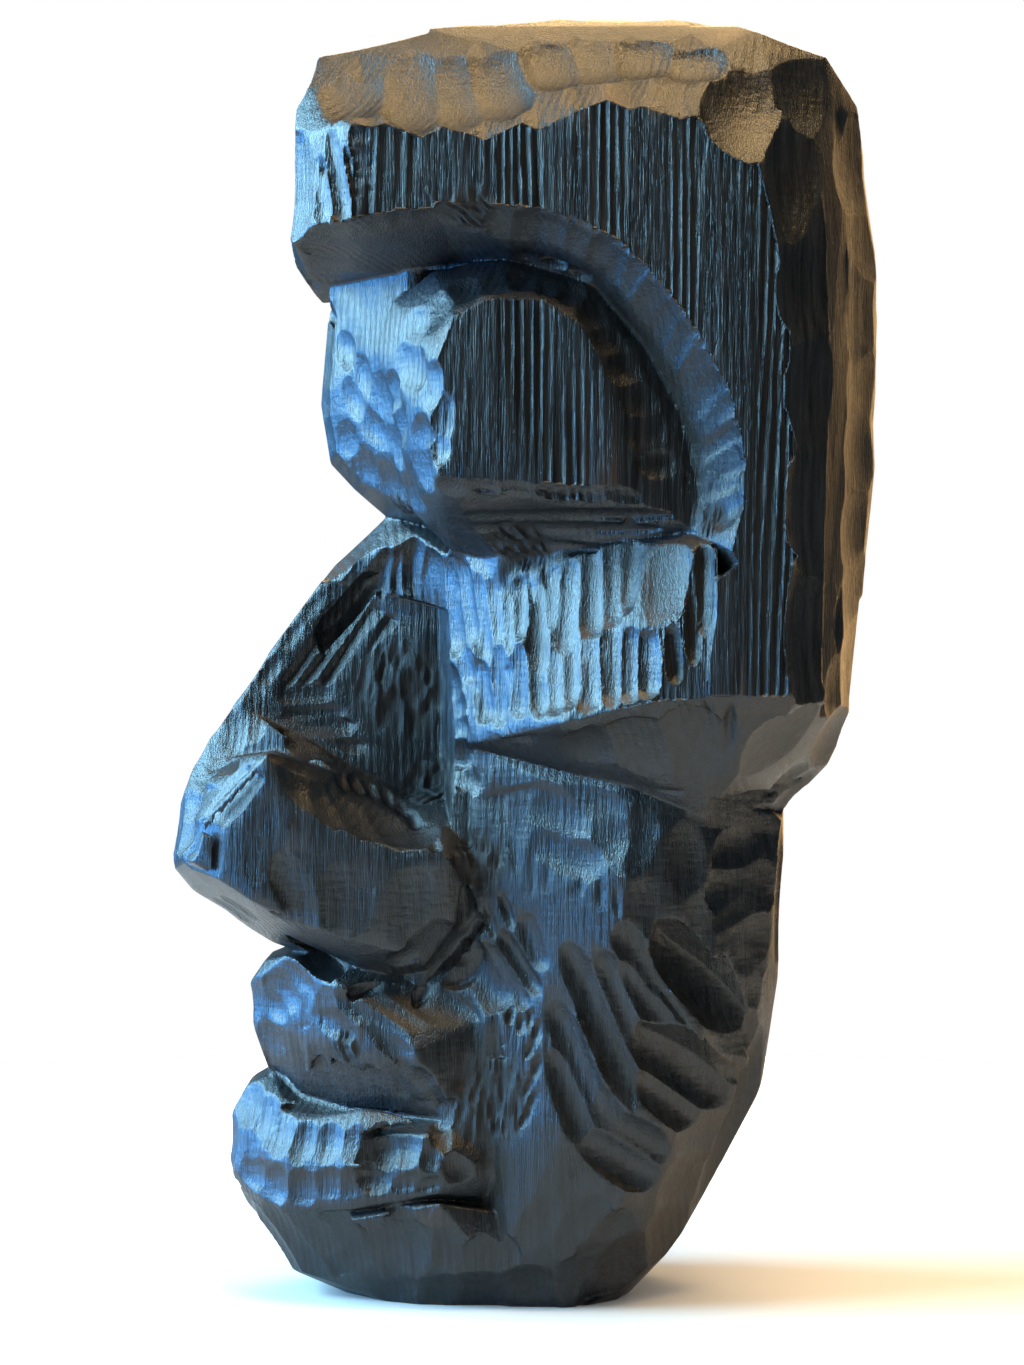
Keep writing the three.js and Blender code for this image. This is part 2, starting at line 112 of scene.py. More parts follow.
# the ray from the camera through a pixel of the photograph; side -1 is its mirror image on the far side
def rayOfPixel(pixel, side=1):
    step = photoView["away"] * photoView["sensor"] / photoView["lens"] / photoView["tall"]
    across = (pixel[0] - photoView["middle"][0]) * step
    upward = (photoView["middle"][1] - pixel[1]) * step
    origin = Vector((side * photoView["away"], photoView["side"], photoView["height"]))
    return origin, Vector((-side * photoView["away"], across, upward)).normalized()


# Marks of the tools that show in the photograph, in its pixels. A row of pulls goes from the line of
# starts to the line of ends, evenly between their points. deep is in mm, broad in pixels or else wide
# as a share of the step from pull to pull, and the tool is one of the cutters below. bend is for pulls
# that run round a corner: how many times further than usual the wood may depart from a plane. The far
# side has the mirror image, made anew.
seenMarks = {
    # crown: scalloped facets under the sawn top, each with a bright arris
    "crown front": dict(
        tool="slick", count=8, deep=2.5, wide=1.3,
        starts=[(340, 60), (392, 44), (440, 42), (492, 36), (546, 34), (590, 30), (640, 34), (694, 42)],
        ends=[(362, 114), (420, 130), (462, 126), (512, 112), (556, 90), (600, 84), (648, 80),
              (700, 82)]),
    "crown dark": dict(
        tool="chisel", count=1, deep=3.0, broad=84,
        starts=[(765, 48)],
        ends=[(738, 150)]),
    "crown corner": dict(
        tool="chisel", count=1, deep=2.4, broad=62,
        starts=[(800, 46)],
        ends=[(818, 132)]),
    "back dark": dict(
        tool="chisel", count=5, deep=2.4, broad=62,
        starts=[(806, 108), (818, 222), (824, 320), (826, 440), (824, 560)],
        ends=[(792, 236), (810, 334), (814, 460), (818, 580), (806, 700)]),
    "back rim": dict(
        tool="chisel", count=9, deep=1.4, broad=34,
        starts=[(848, 96), (856, 160), (862, 230), (866, 300), (864, 370), (862, 440), (860, 510),
                (856, 580), (848, 640)],
        ends=[(858, 176), (864, 246), (868, 318), (868, 388), (866, 458), (862, 528), (860, 598),
              (852, 662), (838, 720)]),
    # brow: gouges on its front corner and short cuts beside them
    "brow gouges": dict(
        tool="gouge", count=3, deep=1.6, broad=20,
        starts=[(302, 168), (313, 148), (323, 116)],
        ends=[(305, 218), (324, 224), (345, 222)]),
    "brow cuts": dict(
        tool="knife", count=5, deep=0.45, broad=15,
        starts=[(346, 136), (348, 152), (352, 166), (350, 180), (352, 194)],
        ends=[(372, 134), (374, 150), (378, 163), (374, 178), (372, 192)]),
    "brow underside": dict(
        tool="chisel", count=7, deep=0.8, wide=1.4,
        starts=[(312, 226), (486, 198)],
        ends=[(336, 246), (470, 230)]),
    # socket: the wall under the arched edge, cut across in short pulls, and finer ones along the edge
    "socket wall": dict(
        tool="slick", count=17, deep=1.2, wide=1.2,
        starts=[(500, 206), (556, 214), (606, 236), (640, 262), (672, 302), (702, 348), (728, 402),
                (738, 452), (738, 505)],
        ends=[(500, 250), (552, 252), (590, 274), (618, 304), (650, 350), (676, 396), (692, 440),
              (694, 478), (704, 512)]),
    "socket edge": dict(
        tool="knife", count=34, deep=0.9, wide=1.2,
        starts=[(520, 203), (580, 216), (622, 240), (660, 276), (700, 328), (730, 392), (741, 436)],
        ends=[(518, 216), (572, 230), (610, 254), (644, 290), (682, 342), (712, 402), (724, 442)]),
    "socket foot": dict(
        tool="chisel", count=3, deep=1.6, broad=26,
        starts=[(736, 430), (742, 462), (738, 500)],
        ends=[(706, 446), (704, 484), (706, 528)]),
    # eyeball: small facets at its front, long ones round its top, thin ones at its foot
    "eye facets": dict(
        tool="slick", count=8, deep=1.5, broad=30,
        starts=[(384, 376), (406, 352), (430, 364), (448, 388), (388, 412), (410, 420), (432, 424),
                (404, 448)],
        ends=[(394, 414), (414, 392), (424, 410), (436, 444), (404, 444), (424, 456), (446, 462),
              (436, 480)]),
    "eye front bevel": dict(
        tool="chisel", count=6, deep=1.5, wide=1.3,
        starts=[(384, 352), (398, 318), (424, 290), (452, 274), (486, 264), (520, 262)],
        ends=[(420, 372), (424, 338), (444, 318), (470, 300), (498, 292), (524, 290)]),
    "eye back bevel": dict(
        tool="chisel", count=8, deep=1.4, wide=1.3,
        starts=[(548, 262), (580, 278), (608, 308), (634, 344), (656, 384), (674, 424), (684, 462)],
        ends=[(548, 296), (570, 306), (590, 330), (606, 362), (618, 396), (628, 432), (636, 462)]),
    "eye foot": dict(
        tool="chisel", count=6, deep=1.0, broad=20,
        starts=[(430, 482), (600, 492)],
        ends=[(470, 490), (650, 500)]),
    "eye groove": dict(
        tool="knife", count=4, deep=0.8, broad=9,
        starts=[(440, 514), (446, 524), (456, 534), (470, 544)],
        ends=[(670, 512), (650, 524), (620, 534), (590, 544)]),
    # bridge of the nose: facets in the notch between brow and cheek
    "bridge facets": dict(
        tool="chisel", count=6, deep=1.8, broad=26,
        starts=[(332, 330), (352, 350), (340, 372), (366, 366), (352, 400), (372, 408)],
        ends=[(352, 364), (366, 400), (358, 416), (388, 436), (388, 448), (404, 470)]),
    "bridge foot": dict(
        tool="chisel", count=4, deep=1.6, broad=30,
        starts=[(334, 420), (342, 446), (372, 462), (388, 474)],
        ends=[(350, 462), (372, 484), (398, 500), (424, 506)]),
    # cheek: upright flutes in two staggered rows
    "cheek upper front": dict(
        tool="gouge", count=6, deep=2.1, broad=19,
        starts=[(445, 554), (460, 554), (474, 564), (490, 572), (506, 574), (522, 570)],
        ends=[(458, 652), (472, 646), (486, 662), (496, 644), (507, 660), (516, 640)]),
    "cheek upper": dict(
        tool="gouge", count=6, deep=1.8, broad=25,
        starts=[(537, 572), (552, 562), (570, 554), (591, 543), (611, 535), (634, 534)],
        ends=[(538, 682), (548, 636), (562, 660), (588, 641), (609, 628), (621, 616)]),
    "cheek lower front": dict(
        tool="gouge", count=5, deep=2.0, broad=22,
        starts=[(458, 636), (476, 656), (497, 634), (517, 640), (536, 626)],
        ends=[(468, 688), (486, 722), (501, 724), (520, 720), (538, 716)]),
    "cheek lower": dict(
        tool="gouge", count=6, deep=1.8, broad=25,
        starts=[(554, 644), (570, 616), (591, 630), (611, 610), (629, 628), (645, 632)],
        ends=[(553, 716), (569, 713), (591, 710), (610, 708), (630, 706), (649, 702)]),
    "cheek back": dict(
        tool="gouge", count=3, deep=2.2, broad=18,
        starts=[(669, 630), (690, 552), (703, 540)],
        ends=[(673, 686), (698, 672), (702, 640)]),
    "cheek slab": dict(
        tool="slick", count=1, deep=1.2, broad=46,
        starts=[(666, 530)],
        ends=[(664, 622)]),
    "cheek front edge": dict(
        tool="chisel", count=5, deep=1.6, broad=20,
        starts=[(446, 672), (448, 694), (450, 716), (452, 740), (456, 766)],
        ends=[(462, 690), (466, 710), (470, 732), (472, 758), (480, 792)]),
    # under the cheek: broad cuts upwards, with the notch where a chisel stopped
    "under cheek": dict(
        tool="chisel", count=5, deep=1.6, wide=1.25,
        starts=[(568, 736), (624, 726), (680, 716), (740, 714), (790, 712)],
        ends=[(604, 766), (656, 786), (706, 806), (752, 808), (776, 786)]),
    "chisel stop": dict(
        tool="knife", count=2, deep=2.4, broad=13,
        starts=[(704, 706), (731, 708)],
        ends=[(713, 768), (727, 768)]),
    # nose: long flutes beside the ridge, upright ones at its root, and the crisp scoop on the wing
    "nose long flutes": dict(
        tool="gouge", count=5, deep=1.8, broad=12,
        starts=[(382, 548), (366, 572), (356, 590), (366, 598), (376, 606)],
        ends=[(338, 606), (312, 636), (282, 686), (298, 692), (316, 692)]),
    "nose root flutes": dict(
        tool="gouge", count=4, deep=2.0, broad=15,
        starts=[(396, 552), (409, 544), (422, 538), (436, 552)],
        ends=[(390, 612), (406, 612), (424, 616), (438, 640)]),
    "nose scoops": dict(
        tool="gouge", count=4, deep=1.1, broad=22,
        starts=[(276, 694), (278, 712), (282, 730), (284, 748)],
        ends=[(336, 692), (344, 712), (352, 732), (360, 752)]),
    "nose tip facets": dict(
        tool="slick", count=6, deep=1.2, broad=30,
        starts=[(262, 676), (240, 704), (224, 720), (204, 750), (190, 784), (180, 820)],
        ends=[(246, 744), (226, 756), (212, 770), (196, 796), (186, 826), (182, 856)]),
    "nose ridge strip": dict(
        tool="chisel", count=5, deep=1.2, broad=22,
        starts=[(380, 524), (356, 552), (330, 584), (304, 618), (282, 650)],
        ends=[(352, 556), (326, 590), (300, 622), (278, 654), (258, 688)]),
    "wing scoop": dict(
        tool="chisel", count=5, deep=1.8, broad=34,
        starts=[(284, 762), (310, 776), (340, 786), (372, 796), (404, 808)],
        ends=[(312, 812), (340, 826), (372, 840), (400, 842), (424, 846)]),
    "wing bites": dict(
        tool="gouge", count=8, deep=1.7, broad=13,
        starts=[(338, 770), (352, 774), (366, 778), (382, 784), (396, 792), (408, 802), (418, 816),
                (428, 830)],
        ends=[(346, 792), (362, 796), (378, 800), (392, 808), (406, 818), (416, 830), (426, 842),
              (438, 852)]),
    "wing face": dict(
        tool="slick", count=6, deep=0.5, broad=50,
        starts=[(236, 770), (206, 820), (262, 800), (300, 850), (350, 862), (410, 868)],
        ends=[(226, 830), (204, 880), (258, 890), (300, 930), (352, 944), (408, 952)]),
    "wing underside": dict(
        tool="chisel", count=6, deep=1.3, wide=1.3,
        starts=[(196, 892), (236, 908), (280, 926), (330, 946), (378, 962), (424, 970)],
        ends=[(216, 916), (256, 936), (300, 956), (346, 966), (392, 974), (440, 978)]),
    # the fold beside the nose: gouges that fan out from its corner
    "fold fan": dict(
        tool="gouge", count=5, deep=2.4, wide=1.1,
        starts=[(424, 972), (456, 952), (480, 940), (498, 924), (520, 912)],
        ends=[(466, 930), (508, 1008), (528, 1006), (536, 992), (542, 972)]),
    "fold cuts": dict(
        tool="knife", count=5, deep=1.4, broad=12,
        starts=[(412, 984), (430, 962), (470, 892), (486, 900), (500, 890)],
        ends=[(470, 916), (478, 920), (476, 962), (496, 940), (516, 930)]),
    # upper jaw: short chisel cuts down the grain
    "upper jaw": dict(
        tool="slick", count=4, deep=1.5, broad=44,
        starts=[(520, 792), (556, 784), (590, 800), (520, 832)],
        ends=[(588, 828), (626, 822), (628, 854), (600, 868)]),
    "upper jaw splinters": dict(
        tool="knife", count=9, deep=0.7, broad=9,
        starts=[(486, 822), (500, 838), (514, 834), (530, 846), (546, 852), (560, 846), (578, 860),
                (598, 868), (616, 884)],
        ends=[(488, 856), (502, 874), (518, 880), (532, 900), (548, 898), (562, 884), (580, 900),
              (600, 910), (618, 924)]),
    "jaw slope": dict(
        tool="chisel", count=4, deep=1.2, broad=40,
        starts=[(640, 800), (690, 820), (640, 880), (700, 890)],
        ends=[(640, 880), (694, 900), (642, 956), (704, 968)]),
    # jaw: long flutes that sweep down and back
    "jaw fan": dict(
        tool="gouge", count=14, deep=3.1, broad=34, bend=3,
        starts=[(545, 995), (560, 943), (595, 948), (619, 967), (611, 920), (648, 947), (662, 1033),
                (623, 1037), (632, 1072), (550, 1043), (578, 1088), (604, 1117), (575, 1136),
                (689, 1062)],
        ends=[(603, 1123), (650, 1127), (646, 1062), (678, 1037), (661, 996), (764, 1057), (756, 1099),
              (741, 1125), (719, 1130), (589, 1153), (648, 1166), (680, 1165), (670, 1192), (764, 1084)]),
    "jaw ragged edge": dict(
        tool="knife", count=9, deep=1.5, broad=10,
        starts=[(512, 1002), (522, 1010), (532, 1004), (540, 1016), (534, 1036), (540, 1054), (532, 1072),
                (536, 1090), (530, 1104)],
        ends=[(508, 1026), (518, 1036), (528, 1030), (534, 1044), (526, 1062), (532, 1084), (524, 1098),
              (526, 1116), (520, 1130)]),
    # nape: scallops one over another, with their arcs towards the face
    "nape": dict(
        tool="chisel", count=6, deep=2.4, broad=46,
        starts=[(772, 838), (774, 868), (772, 900), (770, 940), (766, 984), (762, 1030)],
        ends=[(716, 862), (712, 896), (716, 930), (730, 968), (738, 1008), (744, 1044)]),
    # upper lip: slanting cuts over its top, small scallops under it
    "lip front": dict(
        tool="chisel", count=5, deep=1.5, wide=1.5,
        starts=[(256, 990), (264, 972), (276, 958), (292, 948), (308, 950)],
        ends=[(284, 1018), (296, 1004), (312, 992), (330, 980), (346, 974)]),
    "lip top": dict(
        tool="chisel", count=5, deep=1.4, broad=27,
        starts=[(300, 1006), (318, 990), (346, 980), (376, 980), (410, 986)],
        ends=[(356, 1036), (408, 1040), (430, 1030), (452, 1022), (470, 1022)]),
    "lip bright facet": dict(
        tool="slick", count=1, deep=1.8, broad=28,
        starts=[(364, 1014)],
        ends=[(412, 1062)]),
    "lip underside": dict(
        tool="chisel", count=8, deep=0.9, broad=21,
        starts=[(260, 1016), (276, 1024), (292, 1030), (310, 1036), (328, 1044), (348, 1054), (368, 1062),
                (390, 1070)],
        ends=[(274, 1062), (290, 1074), (306, 1084), (326, 1090), (344, 1094), (364, 1098), (384, 1100),
              (404, 1104)]),
    "lip corner": dict(
        tool="chisel", count=3, deep=1.6, broad=26,
        starts=[(412, 1070), (430, 1084), (440, 1108)],
        ends=[(438, 1094), (446, 1124), (446, 1156)]),
    # lower lip: two rows of upright cuts, the lower with a crisp upper edge
    "lower lip upper": dict(
        tool="chisel", count=9, deep=1.8, broad=30,
        starts=[(256, 1078), (270, 1088), (288, 1100), (308, 1112), (332, 1120), (356, 1124), (380, 1126),
                (406, 1130), (430, 1134)],
        ends=[(236, 1136), (250, 1156), (270, 1164), (294, 1168), (320, 1168), (346, 1170), (374, 1172),
              (402, 1174), (430, 1178)]),
    "lower lip lower": dict(
        tool="slick", count=8, deep=1.3, wide=1.15,
        starts=[(246, 1152), (270, 1166), (296, 1168), (322, 1166), (348, 1168), (374, 1170), (400, 1172),
                (428, 1176)],
        ends=[(246, 1188), (272, 1206), (300, 1210), (326, 1204), (352, 1202), (378, 1198), (404, 1194),
              (432, 1192)]),
    "lip blob": dict(
        tool="chisel", count=1, deep=1.6, broad=28,
        starts=[(448, 1146)],
        ends=[(464, 1188)]),
    # chin and foot: large soft facets that leave a wavy lower edge
    "chin front": dict(
        tool="chisel", count=4, deep=1.6, wide=1.3,
        starts=[(244, 1196), (290, 1216), (340, 1220), (386, 1222)],
        ends=[(268, 1246), (310, 1268), (356, 1284), (404, 1284)]),
    "chin side": dict(
        tool="chisel", count=6, deep=1.1, broad=46,
        starts=[(402, 1224), (440, 1230), (480, 1236), (556, 1206), (598, 1204), (630, 1210)],
        ends=[(416, 1268), (454, 1272), (496, 1276), (514, 1250), (556, 1262), (610, 1250)]),
    "foot": dict(
        tool="chisel", count=7, deep=2.2, wide=1.35,
        starts=[(330, 1272), (376, 1282), (424, 1276), (470, 1276), (520, 1268), (570, 1258),
                (620, 1240)],
        ends=[(352, 1304), (396, 1312), (440, 1314), (486, 1316), (534, 1312), (584, 1304), (628, 1284)]),
}

# Marks on the sides that the photograph does not show, plainer, as shares of the head's box. looks is
# the way that the face of the timber looks. Every row is laid on both sides of the middle.
hiddenMarks = {
    "crown top": dict(
        tool="chisel", count=6, looks=(0, 0, 1), deep=1.1, wide=1.5,
        starts=[(70, -22, 97), (70, 34, 97)],
        ends=[(12, -20, 100), (12, 34, 100)]),
    "forehead upper": dict(
        tool="chisel", count=5, looks=(0, -1, 0.1), deep=1.5, wide=1.4,
        starts=[(80, -30, 95), (6, -30, 96)],
        ends=[(78, -31, 88), (6, -31, 88)]),
    "forehead lower": dict(
        tool="chisel", count=6, looks=(0, -1, 0), deep=1.3, wide=1.4,
        starts=[(84, -31, 88), (4, -31, 88.6)],
        ends=[(84, -31, 80.6), (4, -32, 80.6)]),
    "brow underside front": dict(
        tool="chisel", count=6, looks=(0, -0.4, -1), deep=1.2, wide=1.3,
        starts=[(84, -30, 79), (6, -31, 79)],
        ends=[(70, -22, 79.4), (6, -26, 79.4)]),
    "bridge front": dict(
        tool="chisel", count=6, looks=(0, -1, 0), deep=1.2, wide=1.5,
        starts=[(4, -28, 79), (4, -27, 64)],
        ends=[(24, -26, 78), (24, -24, 64)]),
    "nose ridge": dict(
        tool="chisel", count=9, looks=(0, -1, 0.6), deep=1.0, wide=1.5,
        starts=[(-1, -20, 61), (-1, -48, 39)],
        ends=[(20, -20, 61), (22, -47, 39)]),
    "nose tip": dict(
        tool="chisel", count=3, looks=(0, -1, 0), deep=1.2, wide=1.3,
        starts=[(3, -50, 40), (24, -49, 40)],
        ends=[(3, -49, 33), (24, -48, 33)]),
    "nose underside": dict(
        tool="chisel", count=5, looks=(0, -0.4, -1), deep=0.9, wide=1.3,
        starts=[(3, -48, 31), (40, -44, 31)],
        ends=[(3, -42, 28.6), (40, -38, 28.6)]),
    "upper lip front": dict(
        tool="chisel", count=5, looks=(0, -1, 0.1), deep=1.0, wide=1.3,
        starts=[(3, -40, 24.5), (28, -36, 25)],
        ends=[(3, -38, 20.8), (28, -34, 20.8)]),
    "lower lip front": dict(
        tool="chisel", count=5, looks=(0, -1, 0), deep=1.2, wide=1.3,
        starts=[(3, -41, 15), (30, -38, 15)],
        ends=[(3, -42, 9.5), (30, -39, 9.5)]),
    "chin middle": dict(
        tool="chisel", count=4, looks=(0, -1, -0.6), deep=1.5, wide=1.3,
        starts=[(3, -41, 8), (34, -38, 8)],
        ends=[(3, -32, 1.5), (34, -28, 1)]),
    "back corner": dict(
        tool="chisel", count=10, looks=(0.5, 1, 0), deep=1.8, wide=1.5,
        starts=[(72, 42, 93), (66, 42, 44)],
        ends=[(36, 49, 92), (34, 46, 43)]),
    "back middle": dict(
        tool="chisel", count=9, looks=(0, 1, 0), deep=1.3, wide=1.5,
        starts=[(40, 49, 90), (38, 46, 46)],
        ends=[(-4, 49, 92), (-4, 46, 44)]),
    "under the crown block": dict(
        tool="chisel", count=5, looks=(0, 0.7, -1), deep=1.5, wide=1.3,
        starts=[(50, 40, 42), (6, 41, 42)],
        ends=[(44, 36, 38), (6, 37, 38)]),
    "neck upper": dict(
        tool="chisel", count=5, looks=(0, 1, 0), deep=1.5, wide=1.4,
        starts=[(34, 36, 37), (4, 36, 37)],
        ends=[(32, 34, 24), (4, 35, 24)]),
    "neck lower": dict(
        tool="chisel", count=5, looks=(0, 1, -0.3), deep=1.6, wide=1.4,
        starts=[(34, 34, 24), (4, 35, 24)],
        ends=[(30, 22, 4), (4, 22, 4)]),
    "neck corner": dict(
        tool="chisel", count=8, looks=(1, 1, 0), deep=2.0, wide=1.5,
        starts=[(64, 24, 33), (52, 18, 5)],
        ends=[(34, 35, 32), (32, 24, 5)]),
}

# The cutters: how the bottom of the cut rises along the pull (power) and across it (cross), the rings
# from its bottom to its rim and the corners round it
cutterShapes = {
    "chisel": dict(power=2.0, cross=2.0, rings=4, corners=20),
    "slick": dict(power=3.0, cross=3.0, rings=6, corners=28),
    "gouge": dict(power=6.0, cross=2.0, rings=6, corners=24),
    "knife": dict(power=3.0, cross=2.0, rings=3, corners=12),
}
cutterReach = 1.25  # of the half length and half width, so that a cutter leaves the wood cleanly
cutterLid = 3.5  # of the depth, how high a cutter stands out of the wood
cutterSway = dict(turn=0.05, seed=11)  # how far a cutter is turned in the hand, in radians
handSway = dict(width=(0.9, 1.12), deep=(0.8, 1.2), slide=0.05, step=0.1)  # how unalike two pulls are
handSeeds = {1: 7919, -1: 104729}  # for the seen side and the far side
probeStations = (0.08, 0.36, 0.64, 0.92)  # where a pull feels for the wood, along it
probeAsides = (-0.3, 0, 0.3)  # and to either side, as shares of its width
unfair = 2.2 * mm  # how far the wood may depart from a plane under one pull
lean = 0.25  # from the wood's own normal towards the eye
nearBy = 0.03  # m, from where a mark on a hidden side looks for the wood
fairShare = 0.6  # of the probes that have to meet wood, for a pull to be made


# a bowl one unit in each half size and one unit deep, open at the surface and closed above it
def cutterMesh(name, power, cross, rings, corners):
    mesh = bmesh.new()
    bottom = mesh.verts.new((0, 0, -1))
    hoops = []
    for ring in range(1, rings + 1):
        radius = cutterReach * ring / rings
        hoop = []
        for corner in range(corners):
            angle = 2 * math.pi * corner / corners
            x, y = radius * math.cos(angle), radius * math.sin(angle)
            hoop.append(mesh.verts.new((x, y, abs(x) ** power + abs(y) ** cross - 1)))
        hoops.append(hoop)
    hoops.append([mesh.verts.new((v.co.x, v.co.y, cutterLid)) for v in hoops[-1]])
    for corner in range(corners):
        after = (corner + 1) % corners
        mesh.faces.new((bottom, hoops[0][after], hoops[0][corner]))
        for low, high in zip(hoops, hoops[1:]):
            mesh.faces.new((low[corner], low[after], high[after], high[corner]))
    mesh.faces.new(hoops[-1])
    bmesh.ops.recalc_face_normals(mesh, faces=mesh.faces)
    data = bpy.data.meshes.new(name)
    mesh.to_mesh(data)
    mesh.free()
    return bpy.data.objects.new(name, data)


# the point at t from 0 to 1 on a line of points, evenly between its points
def along(line, t):
    if len(line) == 1:
        return line[0]
    spot = min(max(t, 0), 1) * (len(line) - 1)
    first = min(int(spot), len(line) - 2)
    return line[first].lerp(line[first + 1], spot - first)


# lays one pull on the wood: its middle, its turn and its half sizes. Each probe is a ray towards the
# wood.
def layPull(surface, rayAt, start, end, width, deep, bend):
    run = end - start
    hits = []
    probes = [(t, u) for t in probeStations for u in probeAsides]
    for t, u in probes:
        hit = surface.ray_cast(*rayAt(start + run * t, u * width))[0]
        if hit is not None:
            hits.append(hit)
    if len(hits) < fairShare * len(probes):
        return None
    points = np.array(hits)
    middle = Vector(points.mean(axis=0))
    stretch, axes = np.linalg.svd(points - points.mean(axis=0))[1:]
    normal = Vector(axes[2])
    if stretch[2] / len(hits) ** 0.5 > unfair * bend:
        return None
    toEye = -rayAt(start + run * 0.5, 0)[1]
    if normal.dot(toEye) < 0:
        normal.negate()
    normal = (normal + lean * toEye).normalized()

    def onPlane(spot, aside):
        origin, ray = rayAt(spot, aside)
        return origin + ray * ((middle - origin).dot(normal) / ray.dot(normal))

    lengthwise = onPlane(end, 0) - onPlane(start, 0)
    breadth = (onPlane(start + run * 0.5, width / 2) - onPlane(start + run * 0.5, -width / 2)).length
    side = normal.cross(lengthwise.normalized())
    turn = Matrix((lengthwise.normalized(), side, normal)).transposed().to_euler()
    centre = (onPlane(start, 0) + onPlane(end, 0)) / 2
    return list(centre), list(turn), (lengthwise.length / 2, breadth / 2, deep)


# chips that the cuts set free fall away, so only the largest body stays
def withoutChips(item):
    mesh = bmesh.new()
    mesh.from_mesh(item.data)
    mesh.verts.ensure_lookup_table()
    label = [-1] * len(mesh.verts)
    sizes = []
    for seed in mesh.verts:
        if label[seed.index] >= 0:
            continue
        label[seed.index] = len(sizes)
        waiting, count = [seed], 0
        while waiting:
            vert = waiting.pop()
            count += 1
            for edge in vert.link_edges:
                other = edge.other_vert(vert)
                if label[other.index] < 0:
                    label[other.index] = len(sizes)
                    waiting.append(other)
        sizes.append(count)
    keep = sizes.index(max(sizes))
    bmesh.ops.delete(mesh, geom=[v for v in mesh.verts if label[v.index] != keep], context="VERTS")
    mesh.to_mesh(item.data)
    mesh.free()
    print("chips fallen away", len(sizes) - 1)


# every pull of one row on one side of the head
def pullsOfRow(mark, side, surface, dice):
    seen = "looks" not in mark
    if seen:
        starts, ends = [[Vector(spot) for spot in mark[key]] for key in ("starts", "ends")]
    else:
        starts, ends = [[place(share, side) for share in mark[key]] for key in ("starts", "ends")]
        looks = Vector((side * mark["looks"][0], mark["looks"][1], mark["looks"][2])).normalized()
    gaps = max(mark["count"] - 1, 1)
    found = []
    for index in range(mark["count"]):
        t = (index + dice.uniform(-handSway["step"], handSway["step"])) / gaps if mark["count"] > 1 else 0
        start, end = along(starts, t), along(ends, t)
        slide = dice.uniform(-handSway["slide"], handSway["slide"])
        start, end = start.lerp(end, slide), end.lerp(start, -slide)
        near, far = max(t - 0.5 / gaps, 0), min(t + 0.5 / gaps, 1)
        step = ((along(starts, near) - along(starts, far)).length
                + (along(ends, near) - along(ends, far)).length) / 2 / max((far - near) * gaps, 0.5)
        width = mark.get("broad") or step * mark["wide"]
        width *= dice.uniform(*handSway["width"])
        deep = mark["deep"] * mm * dice.uniform(*handSway["deep"])
        run = end - start
        if seen:
            sideways = Vector((-run.y, run.x)).normalized()

            def rayAt(spot, aside):
                return rayOfPixel(spot + sideways * aside, side)
        else:
            sideways = run.cross(looks).normalized()

            def rayAt(spot, aside):
                return spot + sideways * aside + looks * nearBy, -looks
        pull = layPull(surface, rayAt, start, end, width, deep, mark.get("bend", 1))
        if pull:
            found.append(pull)
    return found


# every pull of every row, sorted by tool
def layToolMarks(surface):
    pulls = {tool: [] for tool in cutterShapes}
    for side, seed in handSeeds.items():
        dice = random.Random(seed)
        for name, mark in {**seenMarks, **hiddenMarks}.items():
            found = pullsOfRow(mark, side, surface, dice)
            pulls[mark["tool"]] += found
            if len(found) < mark["count"]:
                print(name, "made", len(found), "of", mark["count"])
    return pulls


def pointsObject(name, pulls):
    data = bpy.data.meshes.new(name)
    data.from_pydata([pull[0] for pull in pulls], [], [])
    for label, column in (("turn", 1), ("size", 2)):
        layer = data.attributes.new(label, "FLOAT_VECTOR", "POINT")
        layer.data.foreach_set("vector", [value for pull in pulls for value in pull[column]])
    item = bpy.data.objects.new(name, data)
    sceneItems.link(item)
    return item


